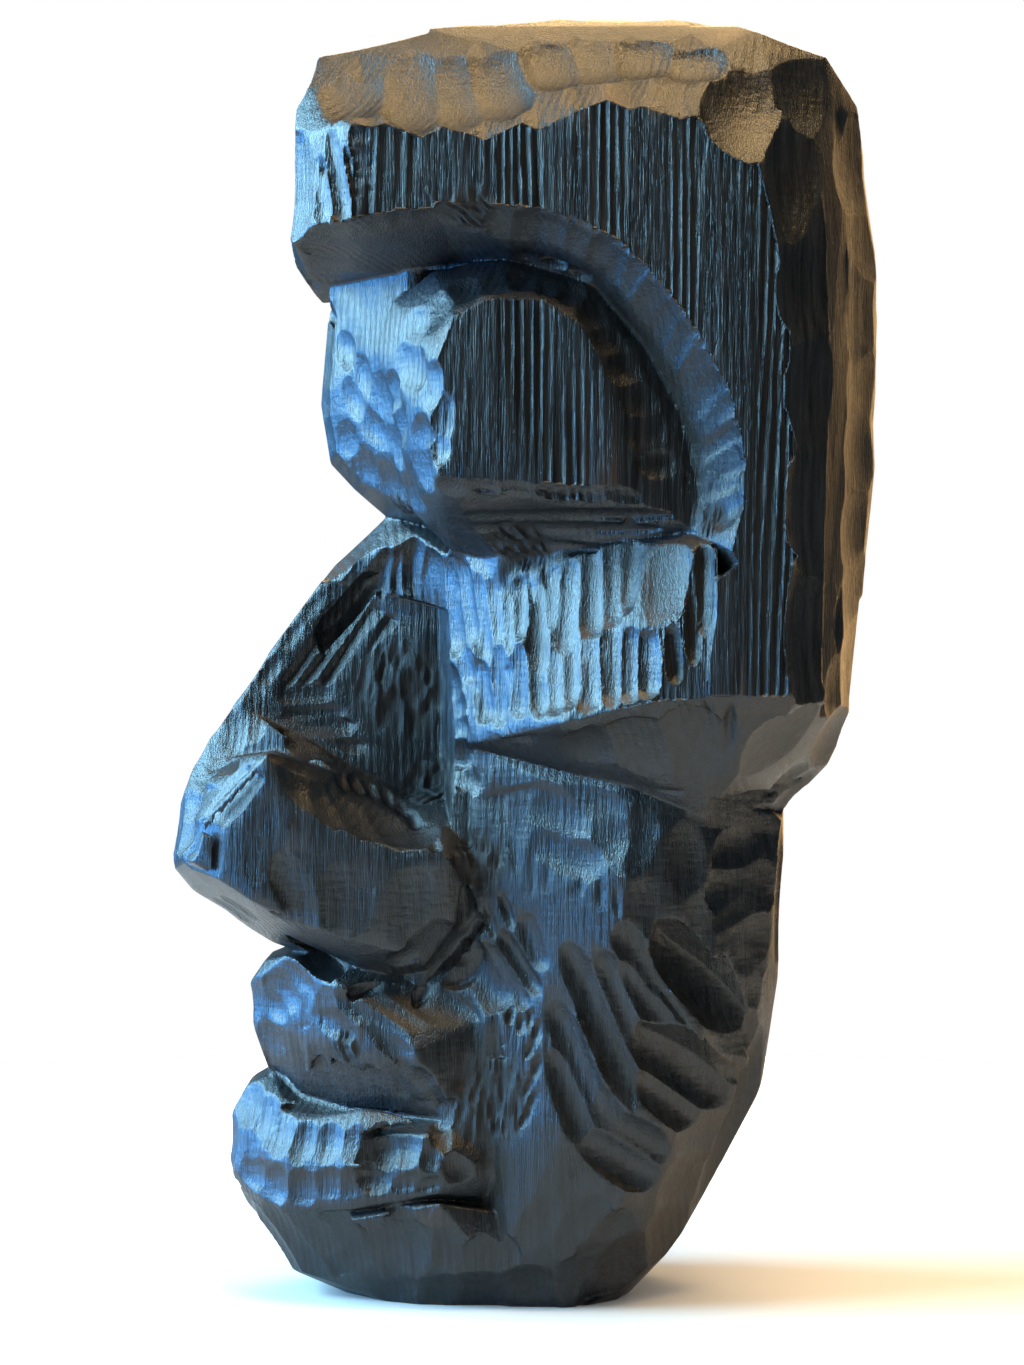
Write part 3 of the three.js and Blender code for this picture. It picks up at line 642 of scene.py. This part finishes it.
# Geometry Nodes: a cutter on each point, swayed a little, then cut out of the wood
def carvingTree():
    tree = bpy.data.node_groups.new("tool marks", "GeometryNodeTree")
    face = tree.interface
    face.new_socket("Geometry", in_out="INPUT", socket_type="NodeSocketGeometry")
    face.new_socket("Pulls", in_out="INPUT", socket_type="NodeSocketObject")
    face.new_socket("Cutter", in_out="INPUT", socket_type="NodeSocketObject")
    face.new_socket("Sway", in_out="INPUT", socket_type="NodeSocketFloat")
    face.new_socket("Seed", in_out="INPUT", socket_type="NodeSocketInt")
    face.new_socket("Wood", in_out="INPUT", socket_type="NodeSocketMaterial")
    face.new_socket("Geometry", in_out="OUTPUT", socket_type="NodeSocketGeometry")
    asked = tree.nodes.new("NodeGroupInput").outputs
    pulls = node(tree, "GeometryNodeObjectInfo", Object=asked["Pulls"])
    cutter = node(tree, "GeometryNodeObjectInfo", Object=asked["Cutter"])
    turn = node(tree, "GeometryNodeInputNamedAttribute", {"data_type": "FLOAT_VECTOR"}, Name="turn")
    size = node(tree, "GeometryNodeInputNamedAttribute", {"data_type": "FLOAT_VECTOR"}, Name="size")
    placed = node(tree, "GeometryNodeInstanceOnPoints", Points=pulls.outputs["Geometry"],
                  Instance=cutter.outputs["Geometry"], Rotation=turn.outputs[0], Scale=size.outputs[0])
    least = node(tree, "ShaderNodeMath", {"operation": "MULTIPLY"}, i0=asked["Sway"], i1=-1.0)
    lowest = node(tree, "ShaderNodeCombineXYZ", Z=least.outputs[0])
    highest = node(tree, "ShaderNodeCombineXYZ", Z=asked["Sway"])
    sway = node(tree, "FunctionNodeRandomValue", {"data_type": "FLOAT_VECTOR"}, i0=lowest.outputs[0],
                i1=highest.outputs[0], Seed=asked["Seed"])
    swayed = node(tree, "GeometryNodeRotateInstances", Instances=placed.outputs[0], Rotation=sway.outputs[0])
    cut = node(tree, "GeometryNodeMeshBoolean", {"operation": "DIFFERENCE", "solver": "MANIFOLD"})
    tree.links.new(asked["Geometry"], cut.inputs["Mesh 1"])
    tree.links.new(swayed.outputs[0], cut.inputs["Mesh 2"])
    real = node(tree, "GeometryNodeRealizeInstances", Geometry=cut.outputs[0])
    finished = node(tree, "GeometryNodeSetMaterial", Geometry=real.outputs[0], Material=asked["Wood"])
    out = tree.nodes.new("NodeGroupOutput")
    tree.links.new(finished.outputs[0], out.inputs[0])
    return tree


def socketId(tree, name):
    return next(item.identifier for item in tree.interface.items_tree
                if item.name == name and item.in_out == "INPUT")


def bake(item):
    view = bpy.context.evaluated_depsgraph_get()
    data = bpy.data.meshes.new_from_object(item.evaluated_get(view))
    item.modifiers.clear()
    item.data = data


def carve(head, pulls, wood):
    tree = carvingTree()
    for number, (tool, found) in enumerate(pulls.items()):
        if not found:
            continue
        cutter = cutterMesh(tool, **cutterShapes[tool])
        sceneItems.link(cutter)
        points = pointsObject(tool + " pulls", found)
        step = head.modifiers.new(tool, "NODES")
        step.node_group = tree
        values = {"Pulls": points, "Cutter": cutter, "Sway": cutterSway["turn"],
                  "Seed": cutterSway["seed"] + number, "Wood": wood}
        for name, value in values.items():
            step[socketId(tree, name)] = value
        bake(head)
        for extra in (cutter, points):
            bpy.data.objects.remove(extra)
        print("carved", tool, len(found), "pulls", len(head.data.polygons), "faces")


# Black-stained pine: softwood carved green, stained black with a water stain that let some brown
# through on the crests, then rubbed with wax oil, so it has a satin gloss that breaks up along the
# grain. fibre, streak, saw and patch are the sizes of its patterns in mm, and relief is how deep its
# finest grain is.
stainedPine = dict(deep="#040506", pale="#15191d", brown="#33251a", fibre=0.55, streak=3.2, saw=1.9,
                   patch=35.7, ior=1.5, rough=(0.26, 0.5), tornRough=0.3, bare=0.75, relief=0.42,
                   reliefShare=0.9)

# The baulk's growth rings, in mm: where its pith stands in plan, how far apart the rings are, and how
# far the cut rings waver slowly and quickly. wander is how far those in the stain do.
growth = dict(pith=(20, -110), ring=2.9, waver=(4.0, 1.1), wander=4.0)


def blackStainedPine(look):
    material = bpy.data.materials.new("blackStainedPine")
    material.use_nodes = True
    tree = material.node_tree
    tree.nodes.clear()
    spot = node(tree, "ShaderNodeTexCoord").outputs["Object"]
    crest = node(tree, "ShaderNodeAttribute", {"attribute_name": "crest"}).outputs["Fac"]
    torn = node(tree, "ShaderNodeAttribute", {"attribute_name": "torn"}).outputs["Fac"]
    sawn = node(tree, "ShaderNodeAttribute", {"attribute_name": "sawn"}).outputs["Fac"]
    # fibres run up the head, a fraction of a millimetre across and centimetres long
    fibreSpace = node(tree, "ShaderNodeMapping", Vector=spot, Scale=(1, 1, 0.05)).outputs[0]
    fibre = node(tree, "ShaderNodeTexNoise", Vector=fibreSpace, Scale=1 / (look["fibre"] * mm), Detail=3.0,
                 Roughness=0.6).outputs[0]
    streak = node(tree, "ShaderNodeTexNoise", Vector=fibreSpace, Scale=1 / (look["streak"] * mm), Detail=4.0,
                  Roughness=0.65).outputs[0]
    # saw and chatter lines cross the grain
    chatterSpace = node(tree, "ShaderNodeMapping", Vector=spot, Scale=(0.25, 0.25, 1)).outputs[0]
    chatter = node(tree, "ShaderNodeTexNoise", Vector=chatterSpace, Scale=1 / (look["saw"] * mm), Detail=2.0,
                   Roughness=0.5).outputs[0]
    # growth rings round the pith, hard and soft wood in turn
    ringSpace = node(tree, "ShaderNodeMapping", Vector=spot, Scale=(1, 1, 0.06),
                     Location=(-growth["pith"][0] * mm, -growth["pith"][1] * mm, 0)).outputs[0]
    rings = node(tree, "ShaderNodeTexWave", {"wave_type": "RINGS", "rings_direction": "Z"}, Vector=ringSpace,
                 Scale=math.pi / (10 * growth["ring"] * mm), Distortion=growth["wander"], Detail=3.0,
                 Detail_Scale=0.3, Detail_Roughness=0.6).outputs["Fac"]
    patch = node(tree, "ShaderNodeTexNoise", Vector=spot, Scale=1 / (look["patch"] * mm), Detail=3.0,
                 Roughness=0.55).outputs[0]
    tone = node(tree, "ShaderNodeValToRGB", Fac=streak)
    tone.color_ramp.elements[0].position = 0.35
    tone.color_ramp.elements[0].color = linear(look["deep"])
    tone.color_ramp.elements[1].position = 0.68
    tone.color_ramp.elements[1].color = linear(look["pale"])
    thin = node(tree, "ShaderNodeMath", {"operation": "MULTIPLY"}, i0=crest, i1=patch)
    bare = node(tree, "ShaderNodeMapRange", Value=thin.outputs[0], From_Min=0.12, From_Max=0.5,
                To_Max=look["bare"])
    colour = node(tree, "ShaderNodeMix", {"data_type": "RGBA"}, i0=bare.outputs[0], i6=tone.outputs[0],
                  i7=linear(look["brown"])).outputs[2]
    gloss = node(tree, "ShaderNodeMapRange", Value=fibre, From_Min=0.3, From_Max=0.7, To_Min=look["rough"][0],
                 To_Max=look["rough"][1])
    dull = node(tree, "ShaderNodeMath", {"operation": "MULTIPLY_ADD"}, i0=torn, i1=look["tornRough"],
                i2=gloss.outputs[0])
    # the fine relief: fibres and streaks along the sawn sides, chatter across the cut ones, faint rings
    combed = node(tree, "ShaderNodeMapRange", Value=sawn, To_Min=0.6, To_Max=2.6).outputs[0]
    crossed = node(tree, "ShaderNodeMapRange", Value=sawn, To_Min=0.5, To_Max=0.0).outputs[0]
    faint = node(tree, "ShaderNodeMapRange", Value=patch, From_Min=0.4, From_Max=0.62, To_Max=0.4).outputs[0]
    ringed = node(tree, "ShaderNodeMath", {"operation": "MULTIPLY_ADD"}, i0=rings, i1=faint, i2=fibre)
    lines = node(tree, "ShaderNodeMath", {"operation": "MULTIPLY_ADD"}, i0=streak, i1=combed,
                 i2=ringed.outputs[0])
    height = node(tree, "ShaderNodeMath", {"operation": "MULTIPLY_ADD"}, i0=chatter, i1=crossed,
                  i2=lines.outputs[0])
    bump = node(tree, "ShaderNodeBump", Height=height.outputs[0], Strength=look["reliefShare"],
                Distance=look["relief"] * mm)
    shader = node(tree, "ShaderNodeBsdfPrincipled", Base_Color=colour, Roughness=dull.outputs[0],
                  Normal=bump.outputs[0], IOR=look["ior"])
    node(tree, "ShaderNodeOutputMaterial", Surface=shader.outputs[0])
    return material


# Relief of the wood itself, pushed into the skin after the tool marks. sawn is the depth, in mm, of the
# upright grooves on the two flat sides and on the flat fronts of the eyes, fineShare how much of it the
# finest ones are and ringShare how much the growth rings are. torn is the depth where the fibres tore
# out. The far side has its own grooves, shallower by farShare, and the eyes' fronts, within eyeOut of
# the width, are shallower by eyeShare.
relief = dict(sawn=1.8, fineShare=0.35, ringShare=0.5, torn=1.0, farShare=0.45, farShift=0.37, eyeShare=0.5,
              eyeOut=0.47)
# its patterns: how broad and how long each is, in mm, and its seed
ripples = dict(groove=(1.9, 60, 3), fine=(1.2, 22, 4), swell=(34, 60, 5), soft=(14, 90, 6),
               shred=(1.5, 5.5, 7), split=(3.4, 9, 8), waver=(30, 220, 9), quiver=(8, 70, 10))
# where flat sides begin, by the normal and by the distance from the middle, and how a torn place fades
woodEdges = dict(facing=(0.86, 0.97), outward=(0.8, 0.86), torn=(0.45, 1.0))
# places where the fibres tore out, by pixel of the photograph, and how far they reach in mm
tornPlaces = {
    "nose hollow": dict(at=(400, 690), reach=22),
    "nose hollow foot": dict(at=(430, 790), reach=14),
    "mouth corner": dict(at=(490, 1100), reach=20),
    "lip cut": dict(at=(345, 1048), reach=8),
    "fold": dict(at=(476, 860), reach=12),
    "brow foot": dict(at=(470, 215), reach=13),
    "eye groove": dict(at=(520, 545), reach=14),
    "bridge foot": dict(at=(405, 508), reach=8),
    "wall foot": dict(at=(712, 520), reach=8),
}


# smooth random heights from -1 to 1 over cells of across by long millimetres
def ripple(u, v, across, long, seed):
    heights = np.random.default_rng(seed).uniform(-1, 1, (311, 97))
    u, v = u / (across * mm), v / (long * mm)
    iu, iv = np.floor(u).astype(int), np.floor(v).astype(int)
    fu, fv = u - iu, v - iv
    fu, fv = fu * fu * (3 - 2 * fu), fv * fv * (3 - 2 * fv)
    corner = [heights[(iu + a) % 311, (iv + b) % 97] for a in (0, 1) for b in (0, 1)]
    return (corner[0] * (1 - fv) + corner[1] * fv) * (1 - fu) + (corner[2] * (1 - fv) + corner[3] * fv) * fu


def between(low, high, value):
    t = np.clip((value - low) / (high - low), 0, 1)
    return t * t * (3 - 2 * t)


def vertexArrays(data):
    spots = np.empty(len(data.vertices) * 3)
    normals = np.empty(len(data.vertices) * 3)
    data.vertices.foreach_get("co", spots)
    data.vertices.foreach_get("normal", normals)
    return spots.reshape(-1, 3), normals.reshape(-1, 3)


# how much each point is on a flat sawn side or eye front, and how torn it is
def woodMasks(spots, normals, surface):
    sideways = between(*woodEdges["facing"], np.abs(normals[:, 0]))
    outward = np.abs(spots[:, 0]) / (headSize[0] / 2)
    sawn = sideways * between(*woodEdges["outward"], outward)
    torn = np.zeros(len(spots))
    mirrored = spots * (np.sign(spots[:, :1]) * [1, 0, 0] + [0, 1, 1])
    for tear in tornPlaces.values():
        centre = surface.ray_cast(*rayOfPixel(tear["at"]))[0]
        apart = np.linalg.norm(mirrored - np.array(centre), axis=1)
        torn = np.maximum(torn, 1 - between(*woodEdges["torn"], apart / (tear["reach"] * mm)))
    return sawn, torn


# pushes the skin in along its normals, by the relief at each point
def pushRelief(head, surface):
    spots, normals = vertexArrays(head.data)
    sawn, torn = woodMasks(spots, normals, surface)
    x, y, z = spots.T
    far = x < 0
    across = y + np.where(far, relief["farShift"], 0.0)
    # upright grooves of the saw, which bend a little on their way up
    grooves = np.abs(ripple(across + 0.012 * np.sin(z * 9), z, *ripples["groove"])) ** 0.8
    fine = np.abs(ripple(across, z, *ripples["fine"]))
    grooves = (1 - relief["fineShare"]) * grooves + relief["fineShare"] * fine
    swell = np.clip(0.55 + 0.7 * ripple(across, z, *ripples["swell"]), 0.1, 1.1)
    swell = swell * np.where(np.abs(x) < relief["eyeOut"] * headSize[0], relief["eyeShare"], 1)
    # growth rings, where the soft wood between them has worn
    apart = np.hypot(x / mm - growth["pith"][0], y / mm - growth["pith"][1])
    slow, quick = growth["waver"]
    waver = slow * ripple(y, z, *ripples["waver"]) + quick * ripple(y, z, *ripples["quiver"])
    rings = 0.5 + 0.5 * np.sin(2 * math.pi * (apart + waver) / growth["ring"])
    soft = between(-0.2, 0.6, ripple(across, z, *ripples["soft"]))
    cut = (1 - grooves) * swell * (1 - relief["ringShare"]) + relief["ringShare"] * rings * soft
    shreds = ripple(y + 1.7 * x, z, *ripples["shred"]) - np.abs(ripple(y - x, z, *ripples["split"]))
    height = relief["torn"] * torn * shreds - relief["sawn"] * sawn * cut
    height *= np.where(far, relief["farShare"], 1)
    spots += normals * (height * mm)[:, None]
    head.data.vertices.foreach_set("co", spots.ravel())
    head.data.update()
    print("relief pushed", len(spots))


crestLift = 0.8  # mm above its neighbours, where a point is a full crest


# how far each point stands out from its neighbours, from 0 to 1
def crestOf(data):
    spots, normals = vertexArrays(data)
    edges = np.empty(len(data.edges) * 2, dtype=np.int64)
    data.edges.foreach_get("vertices", edges)
    a, b = edges.reshape(-1, 2).T
    total = np.zeros_like(spots)
    count = np.zeros(len(spots))
    for one, other in ((a, b), (b, a)):
        np.add.at(total, one, spots[other] - spots[one])
        np.add.at(count, one, 1)
    lift = -(total * normals).sum(axis=1) / count / (crestLift * mm)
    smooth = np.zeros(len(spots))
    for one, other in ((a, b), (b, a)):
        np.add.at(smooth, one, lift[other])
    return np.clip(0.5 * lift + 0.5 * smooth / count, 0, 1)


# leaves what the material needs to know on every point
def markWood(head, surface):
    spots, normals = vertexArrays(head.data)
    sawn, torn = woodMasks(spots, normals, surface)
    for name, values in (("crest", crestOf(head.data)), ("torn", torn), ("sawn", sawn)):
        layer = head.data.attributes.new(name, "FLOAT", "POINT")
        layer.data.foreach_set("value", values.astype(np.float32))


# The finished skin: the size of its cells in mm before it is thinned, its triangles, and the angle from
# which an edge is sharp, in degrees
skin = dict(cell=0.65, triangles=196000, sharp=34)


def buildHead(wood):
    blank = blankFromFrame("carved_head")
    surface = BVHTree.FromBMesh(blank)
    data = bpy.data.meshes.new("head")
    blank.to_mesh(data)
    blank.free()
    head = bpy.data.objects.new("head", data)
    sceneItems.link(head)
    carve(head, layToolMarks(surface), wood)
    withoutChips(head)
    remesh = head.modifiers.new("even skin", "REMESH")
    remesh.mode = "VOXEL"
    remesh.voxel_size = skin["cell"] * mm
    bake(head)
    print("even skin", len(head.data.polygons))
    pushRelief(head, surface)
    thin = head.modifiers.new("thinned", "DECIMATE")
    thin.ratio = skin["triangles"] / (2 * len(head.data.polygons))
    bake(head)
    head.data.materials.clear()
    head.data.materials.append(wood)
    head.data.shade_smooth()
    head.data.set_sharp_from_angle(angle=math.radians(skin["sharp"]))
    markWood(head, surface)
    print("thinned", len(head.data.polygons))
    return head


def makeCamera():
    data = bpy.data.cameras.new("camera")
    data.sensor_fit = "VERTICAL"
    data.sensor_height = photoView["sensor"]
    data.lens = photoView["lens"]
    data.clip_end = 100
    camera = bpy.data.objects.new("camera", data)
    camera.location = (photoView["away"], photoView["side"], photoView["height"])
    camera.rotation_euler = (math.pi / 2, 0, math.pi / 2)
    sceneItems.link(camera)
    bpy.context.scene.camera = camera


# Soft studio: a cool window on the face's side with a bluer one at its foot, two warm lamps over the
# crown and a weak one behind
studioLights = {
    "cool window": dict(at=(0.1, -1.5, 0.95), size=(1.5, 1.0), colour="#97cfec", power=205),
    "cool window foot": dict(at=(-0.1, -1.6, 0.22), size=(1.0, 0.5), colour="#4aa3ff", power=60),
    "warm top": dict(at=(0.32, 0.24, 1.65), size=(0.8, 0.8), colour="#ffd596", power=46),
    "warm crown": dict(at=(-1.2, 0.1, 1.35), size=(1.2, 0.8), colour="#ffd596", power=30),
    "warm back": dict(at=(-1.3, 0.72, 0.5), size=(0.7, 1.2), colour="#ffcb85", power=12),
}
lampAim = (0, 0, 0.24)
# what the camera sees behind the head, what lights it from all round, and what its gloss reflects
studioAir = dict(backdrop="#ffffff", allRound="#ffffff", strength=1.05, gloss="#6f9cb8", glossStrength=0.14)
floorDisc = dict(radius=0.75, corners=96, colour="#a9a8a5")


def makeStudio():
    for name, light in studioLights.items():
        data = bpy.data.lights.new(name, "AREA")
        data.shape = "RECTANGLE"
        data.size, data.size_y = light["size"]
        data.color = linear(light["colour"])[:3]
        data.energy = light["power"]
        lamp = bpy.data.objects.new(name, data)
        lamp.location = light["at"]
        lamp.visible_camera = False
        aim = Vector(lampAim) - lamp.location
        lamp.rotation_euler = aim.to_track_quat("-Z", "Y").to_euler()
        sceneItems.link(lamp)
    world = bpy.data.worlds.new("studio")
    world.use_nodes = True
    tree = world.node_tree
    tree.nodes.clear()
    path = node(tree, "ShaderNodeLightPath")
    air = node(tree, "ShaderNodeBackground", Color=linear(studioAir["allRound"]),
               Strength=studioAir["strength"])
    dark = node(tree, "ShaderNodeBackground", Color=linear(studioAir["gloss"]),
                Strength=studioAir["glossStrength"])
    pale = node(tree, "ShaderNodeBackground", Color=linear(studioAir["backdrop"]), Strength=1.0)
    lit = node(tree, "ShaderNodeMixShader", Fac=path.outputs["Is Glossy Ray"], i1=air.outputs[0],
               i2=dark.outputs[0])
    seen = node(tree, "ShaderNodeMixShader", Fac=path.outputs["Is Camera Ray"], i1=lit.outputs[0],
                i2=pale.outputs[0])
    node(tree, "ShaderNodeOutputWorld", Surface=seen.outputs[0])
    bpy.context.scene.world = world
    radius, corners = floorDisc["radius"], floorDisc["corners"]
    rim = [2 * math.pi * i / corners for i in range(corners)]
    data = bpy.data.meshes.new("floor")
    spots = [(radius * math.cos(angle), radius * math.sin(angle), 0) for angle in rim]
    data.from_pydata(spots, [], [list(range(corners))])
    floor = bpy.data.objects.new("floor", data)
    sceneItems.link(floor)
    paint = bpy.data.materials.new("matteGreyPaint")
    paint.use_nodes = True
    coat = paint.node_tree.nodes["Principled BSDF"].inputs
    coat["Base Color"].default_value = linear(floorDisc["colour"])
    coat["Roughness"].default_value = 1.0
    coat["Specular IOR Level"].default_value = 0.0
    data.materials.append(paint)


makeCamera()
makeStudio()
bpy.context.scene.view_settings.view_transform = "Standard"
wood = blackStainedPine(stainedPine)
head = buildHead(wood)
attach(head, "root")
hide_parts("carved_head")
